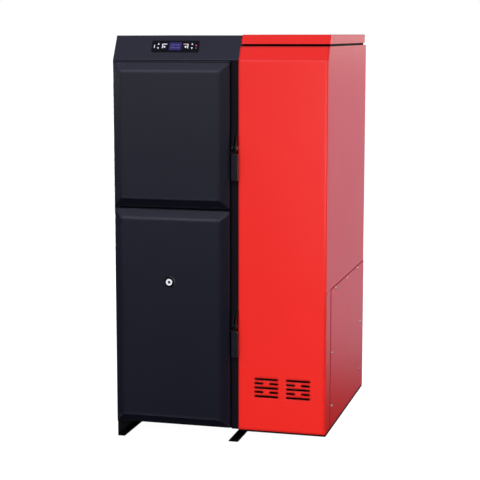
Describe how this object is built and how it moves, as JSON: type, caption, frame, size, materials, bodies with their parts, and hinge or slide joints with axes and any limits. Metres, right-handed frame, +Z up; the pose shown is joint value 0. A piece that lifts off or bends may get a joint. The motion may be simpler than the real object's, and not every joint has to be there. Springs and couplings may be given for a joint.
{
  "type": "pellet boiler",
  "caption": "Floor-standing pellet boiler: anthracite body with bevelled fire and cleaning doors, sloped key panel, and a red pellet hopper with a hinged lid at its side.",
  "frame": {"origin": "middle of the whole footprint, on the floor", "axes": "+Z up, +X to the right seen from the front, the doors face -Y"},
  "size_m": [0.7478, 0.822, 1.4],
  "materials": {
    "anthracite_paint": "semi-matt fine textured powder coat",
    "black_paint": "matt powder coat",
    "red_paint": "glossy powder coat",
    "galvanised_sheet": "zinc spangle",
    "boiler_steel": "dark heat-stained plate",
    "cast_iron": "rough casting",
    "ceramic": "unglazed ceramic",
    "fireboard": "pressed vermiculite",
    "glass_rope": "braided glass fibre",
    "mineral_wool": "felted wool board",
    "seal_rubber": "matt",
    "black_plastic": "moulded, lightly grained",
    "key_plastic": "silk",
    "display_glass": "lit display behind a clear window",
    "zinc_steel": "bright zinc plate",
    "bezel_chrome": "polished",
    "heat_glass": "clear",
    "motor_paint": "cast aluminium"
  },
  "bodies": {
    "boiler": {"base_frame": "black_paint", "casing_floor": "galvanised_sheet", "left_side_panel": "anthracite_paint", "partition_panel": "galvanised_sheet", "control_fascia": "anthracite_paint", "front_frame": "black_paint", "door_hinge_pins": "zinc_steel", "rear_panel": "anthracite_paint", "water_jacket": "boiler_steel", "boiler_front_plate": "boiler_steel", "firebox_shell": "boiler_steel", "smoke_chamber_shell": "boiler_steel", "fire_tubes": "boiler_steel", "turbulators": "boiler_steel", "insulation_slabs": "mineral_wool", "burner_bench": "boiler_steel", "burner_pot": "cast_iron", "igniter": "ceramic", "ash_pan": "boiler_steel", "fan_housing": "galvanised_sheet", "fan_motor": "motor_paint", "flue_collar": "boiler_steel", "water_stubs": "boiler_steel", "hopper_front_panel": "red_paint", "hopper_side_panel": "red_paint", "service_cover": "red_paint", "service_cover_screws": "zinc_steel", "hopper_tank": "galvanised_sheet", "lid_hinge_posts": "zinc_steel", "lid_seal": "seal_rubber", "auger_tube": "boiler_steel", "auger_gearmotor": "motor_paint", "keypad_panel": "black_plastic", "display_window": "display_glass", "mains_inlet": "black_plastic", "latch_brackets": "black_paint", "latch_pivot_bolts": "boiler_steel"},
    "upper_door": {"upper_door_shell": "anthracite_paint", "upper_door_plate": "boiler_steel", "upper_door_pad": "fireboard", "upper_door_seal": "glass_rope"},
    "lower_door": {"lower_door_shell": "anthracite_paint", "lower_door_plate": "boiler_steel", "lower_door_pad": "fireboard", "lower_door_seal": "glass_rope", "sight_glass_bezel": "bezel_chrome", "sight_glass": "heat_glass"},
    "upper_latch": {"upper_latch_lever": "black_paint", "upper_latch_grip": "black_plastic"},
    "lower_latch": {"lower_latch_lever": "black_paint", "lower_latch_grip": "black_plastic"},
    "lid": {"hopper_lid": "red_paint"},
    "fuel_screw": {"auger_screw": "zinc_steel"},
    "smoke_fan": {"fan_impeller": "boiler_steel"},
    "left_main_key_cap": {"left_main_key": "key_plastic"},
    "left_up_key_cap": {"left_up_key": "key_plastic"},
    "left_down_key_cap": {"left_down_key": "key_plastic"},
    "right_main_key_cap": {"right_main_key": "key_plastic"},
    "right_up_key_cap": {"right_up_key": "key_plastic"},
    "right_down_key_cap": {"right_down_key": "key_plastic"}
  },
  "joints": [
    {"name": "upper_door_swing", "type": "hinge", "parent": "boiler", "child": "upper_door", "pos_m": [-0.3599, -0.378, 1.0635], "axis": [0, 0, -1], "range_deg": [0, 100]},
    {"name": "lower_door_swing", "type": "hinge", "parent": "boiler", "child": "lower_door", "pos_m": [-0.3599, -0.378, 0.436], "axis": [0, 0, -1], "range_deg": [0, 100]},
    {"name": "upper_latch_lift", "type": "hinge", "parent": "boiler", "child": "upper_latch", "pos_m": [0.0591, -0.39, 1.025], "axis": [-1, 0, 0], "range_deg": [0, 100]},
    {"name": "lower_latch_lift", "type": "hinge", "parent": "boiler", "child": "lower_latch", "pos_m": [0.0591, -0.39, 0.421], "axis": [-1, 0, 0], "range_deg": [0, 100]},
    {"name": "lid_lift", "type": "hinge", "parent": "boiler", "child": "lid", "pos_m": [0.2196, 0.334, 1.388], "axis": [-1, 0, 0], "range_deg": [0, 80]},
    {"name": "fuel_screw_turn", "type": "hinge", "parent": "boiler", "child": "fuel_screw", "pos_m": [0.1481, 0.238, 0.3], "axis": [0, -0.7314, 0.682], "continuous": true},
    {"name": "smoke_fan_turn", "type": "hinge", "parent": "boiler", "child": "smoke_fan", "pos_m": [-0.1534, 0.2333, 1.0885], "axis": [0, 1, 0], "continuous": true},
    {"name": "left_main_key_press", "type": "slide", "parent": "boiler", "child": "left_main_key_cap", "axis": [0, 0.8747, -0.4847], "range_m": [0, 0.0008], "stiffness_N_per_m": 400},
    {"name": "left_up_key_press", "type": "slide", "parent": "boiler", "child": "left_up_key_cap", "axis": [0, 0.8747, -0.4847], "range_m": [0, 0.0008], "stiffness_N_per_m": 400},
    {"name": "left_down_key_press", "type": "slide", "parent": "boiler", "child": "left_down_key_cap", "axis": [0, 0.8747, -0.4847], "range_m": [0, 0.0008], "stiffness_N_per_m": 400},
    {"name": "right_main_key_press", "type": "slide", "parent": "boiler", "child": "right_main_key_cap", "axis": [0, 0.8747, -0.4847], "range_m": [0, 0.0008], "stiffness_N_per_m": 400},
    {"name": "right_up_key_press", "type": "slide", "parent": "boiler", "child": "right_up_key_cap", "axis": [0, 0.8747, -0.4847], "range_m": [0, 0.0008], "stiffness_N_per_m": 400},
    {"name": "right_down_key_press", "type": "slide", "parent": "boiler", "child": "right_down_key_cap", "axis": [0, 0.8747, -0.4847], "range_m": [0, 0.0008], "stiffness_N_per_m": 400}
  ]
}
